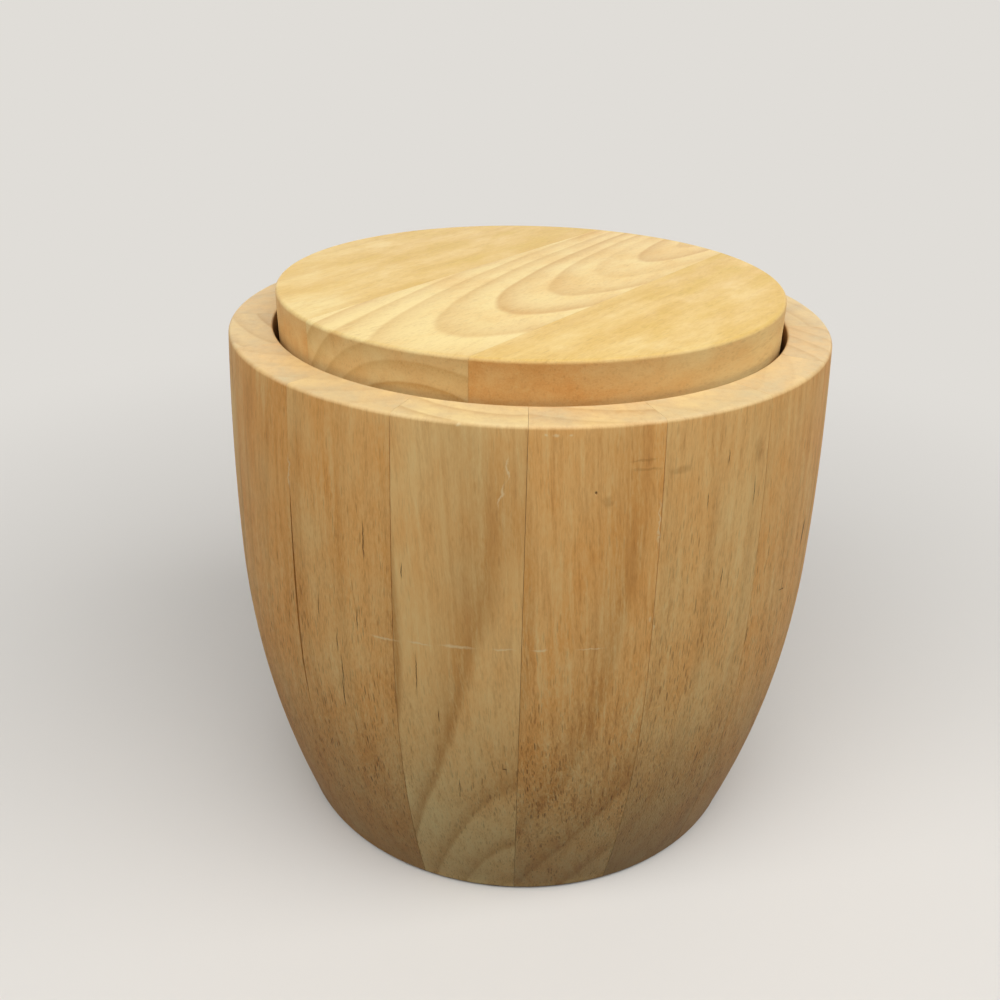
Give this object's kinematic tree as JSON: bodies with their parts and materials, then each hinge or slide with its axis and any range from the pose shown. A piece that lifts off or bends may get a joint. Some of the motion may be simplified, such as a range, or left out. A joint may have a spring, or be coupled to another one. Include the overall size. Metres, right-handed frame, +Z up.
{
  "type": "wooden ice bucket",
  "caption": "Barrel-shaped wooden ice bucket of glued staves, with a lift-out plastic liner and a round drop-in wooden lid.",
  "frame": {"origin": "centre of the foot ring, on the surface the bucket stands on", "axes": "+Z up along the bucket's axis, -Y towards the front, where the first and last staves meet"},
  "size_m": [0.206, 0.206, 0.192],
  "materials": {
    "stave_wood": "satin clear lacquer",
    "base_wood": "sanded, unfinished",
    "liner_plastic": "moulded satin",
    "lid_wood": "satin clear lacquer"
  },
  "bodies": {
    "bucket": {"stave_01": "stave_wood", "stave_02": "stave_wood", "stave_03": "stave_wood", "stave_04": "stave_wood", "stave_05": "stave_wood", "stave_06": "stave_wood", "stave_07": "stave_wood", "stave_08": "stave_wood", "stave_09": "stave_wood", "stave_10": "stave_wood", "stave_11": "stave_wood", "stave_12": "stave_wood", "stave_13": "stave_wood", "stave_14": "stave_wood", "stave_15": "stave_wood", "stave_16": "stave_wood", "stave_17": "stave_wood", "base_board_left": "base_wood", "base_board_middle": "base_wood", "base_board_right": "base_wood"},
    "liner": {"liner": "liner_plastic"},
    "lid": {"lid_board_left": "lid_wood", "lid_board_middle": "lid_wood", "lid_board_right": "lid_wood"}
  },
  "joints": [
    {"name": "liner_lift", "type": "slide", "parent": "bucket", "child": "liner", "axis": [0, 0, 1], "range_m": [0, 0.175]},
    {"name": "lid_lift", "type": "slide", "parent": "liner", "child": "lid", "axis": [0, 0, 1], "range_m": [0, 0.15]}
  ]
}
